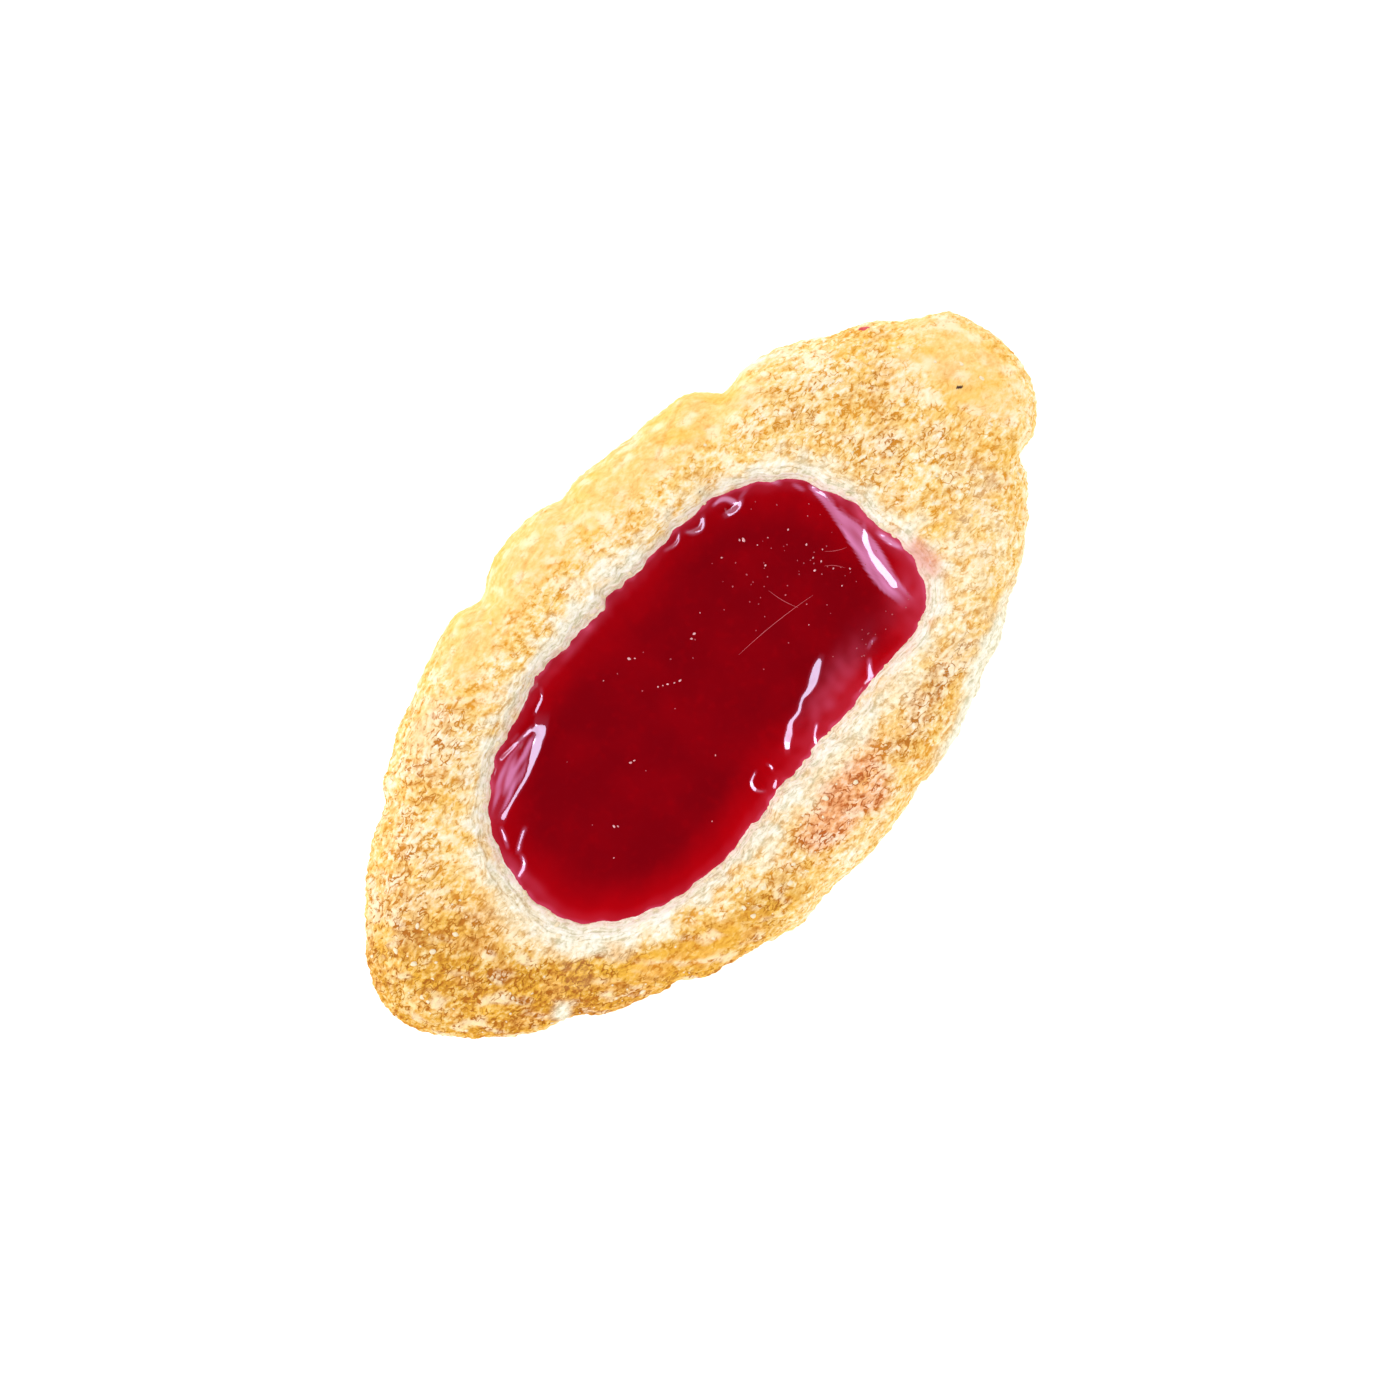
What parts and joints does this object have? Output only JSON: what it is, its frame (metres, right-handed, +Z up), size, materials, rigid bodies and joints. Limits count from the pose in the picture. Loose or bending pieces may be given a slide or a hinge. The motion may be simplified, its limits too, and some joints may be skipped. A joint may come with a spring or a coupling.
{
  "type": "barquette biscuit",
  "caption": "Boat-shaped baked sponge biscuit with a rounded, browned rim and a shallow oblong well in its top, filled with set red jam.",
  "frame": {"origin": "on the flat underside, at the middle of the boat's length and width", "axes": "+X along the boat towards its lobed tip, +Y towards the long side whose crust is smoothest, +Z up out of the jam"},
  "size_m": [0.066, 0.0345, 0.0116],
  "materials": {
    "sponge": "matte baked sponge crust, grainy, browned unevenly",
    "jam": "glossy, slightly translucent set red jam"
  },
  "bodies": {
    "root": {"sponge_boat": "sponge", "jam_filling": "jam"}
  },
  "joints": []
}
